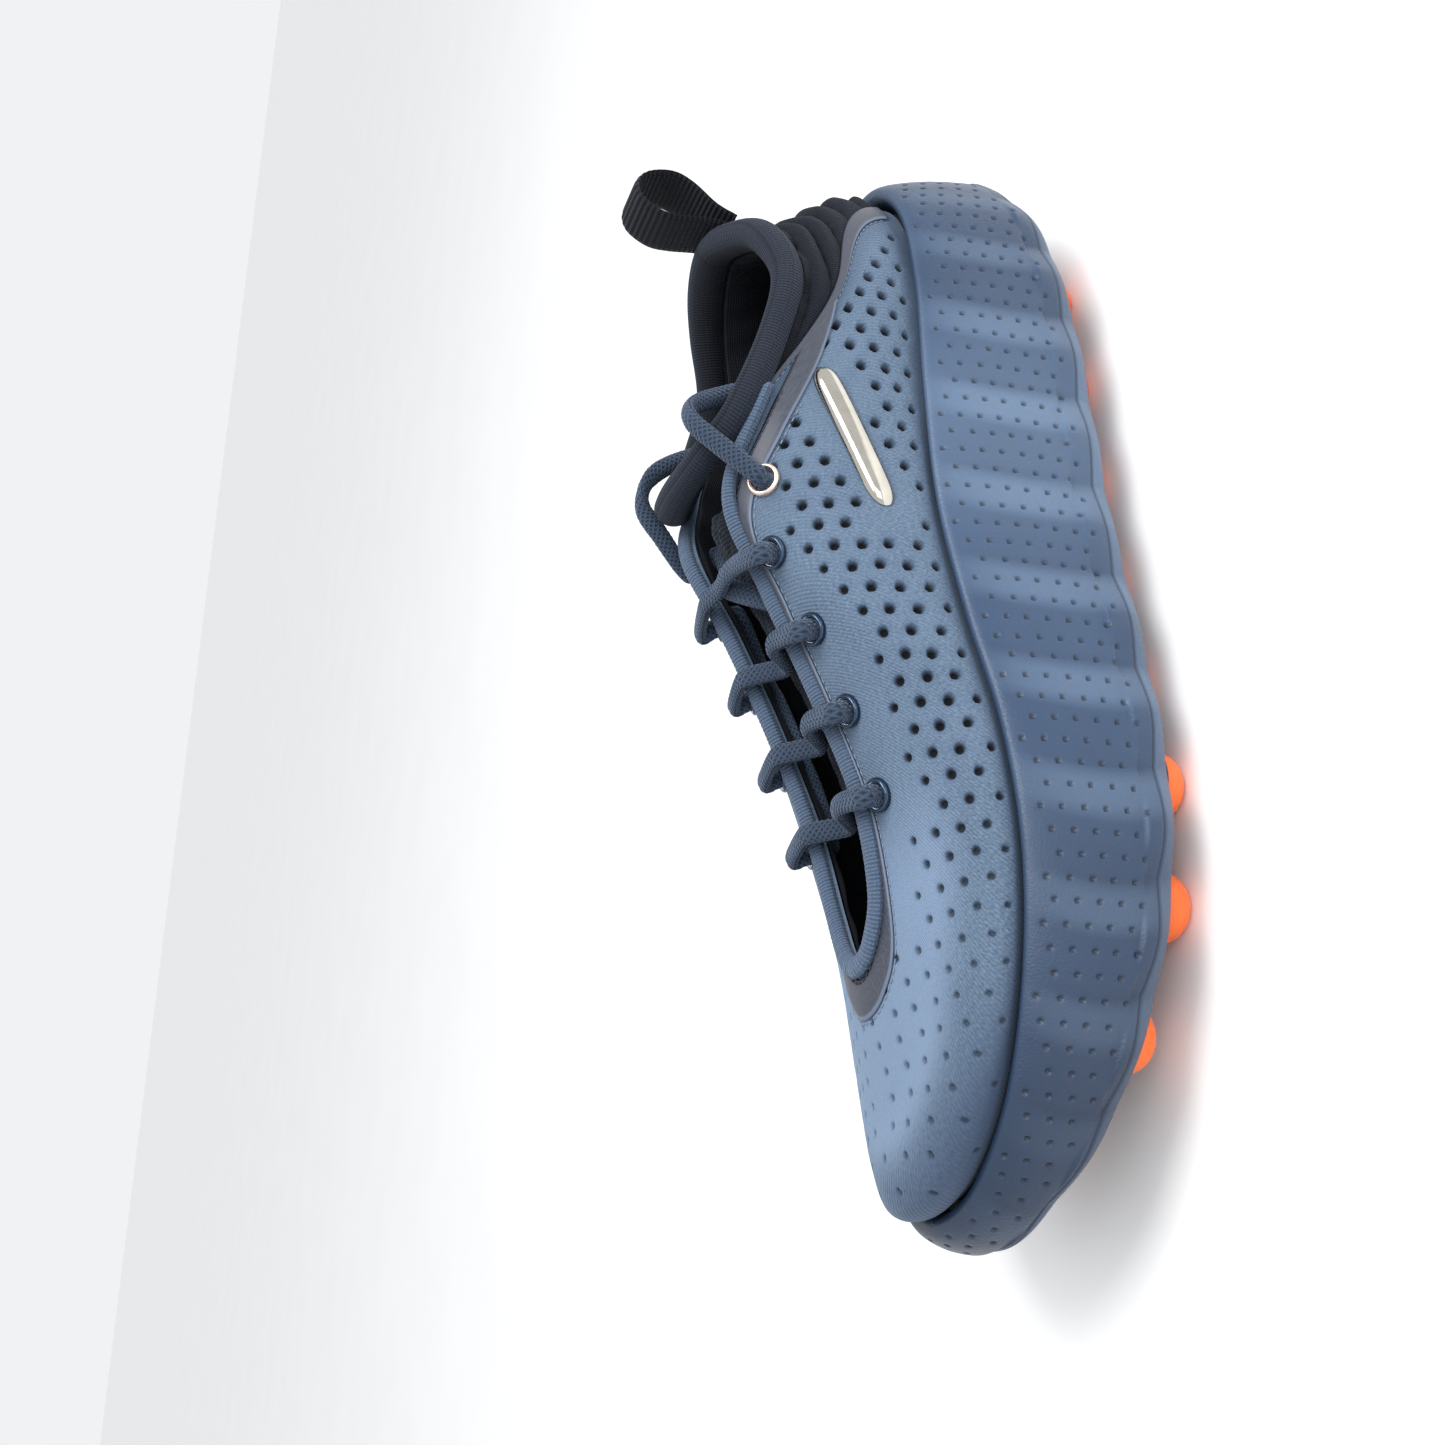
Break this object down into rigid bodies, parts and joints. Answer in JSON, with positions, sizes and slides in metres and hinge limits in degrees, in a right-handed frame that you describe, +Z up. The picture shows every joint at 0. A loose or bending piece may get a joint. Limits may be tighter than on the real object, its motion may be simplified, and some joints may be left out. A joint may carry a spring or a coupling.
{
  "type": "golf shoe",
  "caption": "Low left lace-up shoe with a perforated stretch upper, padded heel, deep rippled foam midsole and sprung pods under the foot.",
  "frame": {"origin": "centre of the shoe's box in plan, on the ground under the pods", "axes": "+X lateral (the outer side of this left shoe), -Y towards the toe, +Z up"},
  "size_m": [0.1086, 0.3066, 0.1286],
  "materials": {
    "midsole": "smooth slate-blue foam with a fine skin and rows of small dimples",
    "pod": "smooth satin orange foam rubber",
    "rubber": "matt black rubber",
    "foam": "thin dark foam sheet",
    "board": "pale stiff fibre board",
    "insole": "dark fabric-topped foam",
    "upper": "steel-blue stretch fabric over foam, fine rib, round perforations",
    "plastic": "thin thermoplastic sheet",
    "lining": "black mesh",
    "heel_knit": "padded navy-black ribbed stretch fabric",
    "collar_knit": "rolled charcoal-navy ribbed knit",
    "tongue": "black quilted mesh",
    "tape": "bonded grey-navy tape",
    "gunmetal": "polished warm grey metal",
    "rose_metal": "polished rose-gold metal",
    "enamel": "glossy dark blue enamel",
    "lace": "braided dark slate cord",
    "aglet": "clear-coated tip",
    "webbing": "black ribbed webbing"
  },
  "bodies": {
    "shoe": {"midsole": "midsole", "toe_rubber": "rubber", "pod_cover_sheet": "foam", "strobel_board": "board", "insole": "insole", "upper_shell": "upper", "toe_stiffener": "plastic", "heel_counter": "plastic", "lining": "lining", "heel_bellows": "heel_knit", "collar_roll": "collar_knit", "tongue": "tongue", "quarter_tape_lateral": "tape", "quarter_tape_medial": "tape", "throat_tape": "tape", "badge_lateral": "gunmetal", "badge_medial": "gunmetal", "lace": "lace", "lace_end_lateral": "lace", "lace_end_medial": "lace", "aglet_lateral": "aglet", "aglet_medial": "aglet", "eyelet_lateral_1": "rose_metal", "eyelet_lateral_2": "enamel", "eyelet_lateral_3": "enamel", "eyelet_lateral_4": "enamel", "eyelet_lateral_5": "enamel", "eyelet_medial_1": "rose_metal", "eyelet_medial_2": "enamel", "eyelet_medial_3": "enamel", "eyelet_medial_4": "enamel", "eyelet_medial_5": "enamel"},
    "pod_r1_1": {"pod_r1_1": "pod"},
    "pod_r1_2": {"pod_r1_2": "pod"},
    "pod_r1_3": {"pod_r1_3": "pod"},
    "pod_r2_1": {"pod_r2_1": "pod"},
    "pod_r2_2": {"pod_r2_2": "pod"},
    "pod_r2_3": {"pod_r2_3": "pod"},
    "pod_r3_1": {"pod_r3_1": "pod"},
    "pod_r3_2": {"pod_r3_2": "pod"},
    "pod_r4_1": {"pod_r4_1": "pod"},
    "pod_r4_2": {"pod_r4_2": "pod"},
    "pod_r5_1": {"pod_r5_1": "pod"},
    "pod_r5_2": {"pod_r5_2": "pod"},
    "pod_r5_3": {"pod_r5_3": "pod"},
    "pod_r6_1": {"pod_r6_1": "pod"},
    "pod_r6_2": {"pod_r6_2": "pod"},
    "pod_r6_3": {"pod_r6_3": "pod"},
    "pod_r6_4": {"pod_r6_4": "pod"},
    "pod_r7_1": {"pod_r7_1": "pod"},
    "pod_r7_2": {"pod_r7_2": "pod"},
    "pod_r7_3": {"pod_r7_3": "pod"},
    "pod_r8_1": {"pod_r8_1": "pod"},
    "pod_r8_2": {"pod_r8_2": "pod"},
    "heel_loop": {"pull_tab": "webbing"}
  },
  "joints": [
    {"name": "pod_r1_1_press", "type": "slide", "parent": "shoe", "child": "pod_r1_1", "axis": [0, 0, 1], "range_m": [0, 0.003], "stiffness_N_per_m": 1500},
    {"name": "pod_r1_2_press", "type": "slide", "parent": "shoe", "child": "pod_r1_2", "axis": [0, 0, 1], "range_m": [0, 0.003], "stiffness_N_per_m": 1500},
    {"name": "pod_r1_3_press", "type": "slide", "parent": "shoe", "child": "pod_r1_3", "axis": [0, 0, 1], "range_m": [0, 0.003], "stiffness_N_per_m": 1500},
    {"name": "pod_r2_1_press", "type": "slide", "parent": "shoe", "child": "pod_r2_1", "axis": [0, 0, 1], "range_m": [0, 0.003], "stiffness_N_per_m": 1500},
    {"name": "pod_r2_2_press", "type": "slide", "parent": "shoe", "child": "pod_r2_2", "axis": [0, 0, 1], "range_m": [0, 0.003], "stiffness_N_per_m": 1500},
    {"name": "pod_r2_3_press", "type": "slide", "parent": "shoe", "child": "pod_r2_3", "axis": [0, 0, 1], "range_m": [0, 0.003], "stiffness_N_per_m": 1500},
    {"name": "pod_r3_1_press", "type": "slide", "parent": "shoe", "child": "pod_r3_1", "axis": [0, 0, 1], "range_m": [0, 0.003], "stiffness_N_per_m": 1500},
    {"name": "pod_r3_2_press", "type": "slide", "parent": "shoe", "child": "pod_r3_2", "axis": [0, 0, 1], "range_m": [0, 0.003], "stiffness_N_per_m": 1500},
    {"name": "pod_r4_1_press", "type": "slide", "parent": "shoe", "child": "pod_r4_1", "axis": [0, 0, 1], "range_m": [0, 0.003], "stiffness_N_per_m": 1500},
    {"name": "pod_r4_2_press", "type": "slide", "parent": "shoe", "child": "pod_r4_2", "axis": [0, 0, 1], "range_m": [0, 0.003], "stiffness_N_per_m": 1500},
    {"name": "pod_r5_1_press", "type": "slide", "parent": "shoe", "child": "pod_r5_1", "axis": [0, 0, 1], "range_m": [0, 0.003], "stiffness_N_per_m": 1500},
    {"name": "pod_r5_2_press", "type": "slide", "parent": "shoe", "child": "pod_r5_2", "axis": [0, 0, 1], "range_m": [0, 0.003], "stiffness_N_per_m": 1500},
    {"name": "pod_r5_3_press", "type": "slide", "parent": "shoe", "child": "pod_r5_3", "axis": [0, 0, 1], "range_m": [0, 0.003], "stiffness_N_per_m": 1500},
    {"name": "pod_r6_1_press", "type": "slide", "parent": "shoe", "child": "pod_r6_1", "axis": [0, 0, 1], "range_m": [0, 0.003], "stiffness_N_per_m": 1500},
    {"name": "pod_r6_2_press", "type": "slide", "parent": "shoe", "child": "pod_r6_2", "axis": [0, 0, 1], "range_m": [0, 0.003], "stiffness_N_per_m": 1500},
    {"name": "pod_r6_3_press", "type": "slide", "parent": "shoe", "child": "pod_r6_3", "axis": [0, 0, 1], "range_m": [0, 0.003], "stiffness_N_per_m": 1500},
    {"name": "pod_r6_4_press", "type": "slide", "parent": "shoe", "child": "pod_r6_4", "axis": [0, 0, 1], "range_m": [0, 0.003], "stiffness_N_per_m": 1500},
    {"name": "pod_r7_1_press", "type": "slide", "parent": "shoe", "child": "pod_r7_1", "axis": [0, 0, 1], "range_m": [0, 0.003], "stiffness_N_per_m": 1500},
    {"name": "pod_r7_2_press", "type": "slide", "parent": "shoe", "child": "pod_r7_2", "axis": [0, 0, 1], "range_m": [0, 0.003], "stiffness_N_per_m": 1500},
    {"name": "pod_r7_3_press", "type": "slide", "parent": "shoe", "child": "pod_r7_3", "axis": [0, 0, 1], "range_m": [0, 0.003], "stiffness_N_per_m": 1500},
    {"name": "pod_r8_1_press", "type": "slide", "parent": "shoe", "child": "pod_r8_1", "axis": [0, 0, 1], "range_m": [0, 0.003], "stiffness_N_per_m": 1500},
    {"name": "pod_r8_2_press", "type": "slide", "parent": "shoe", "child": "pod_r8_2", "axis": [0, 0, 1], "range_m": [0, 0.003], "stiffness_N_per_m": 1500},
    {"name": "heel_loop_hinge", "type": "hinge", "parent": "shoe", "child": "heel_loop", "pos_m": [-0.0006, 0.1269, 0.0996], "axis": [1, 0, 0], "range_deg": [-60, 12], "stiffness_Nm_per_rad": 0.01}
  ]
}
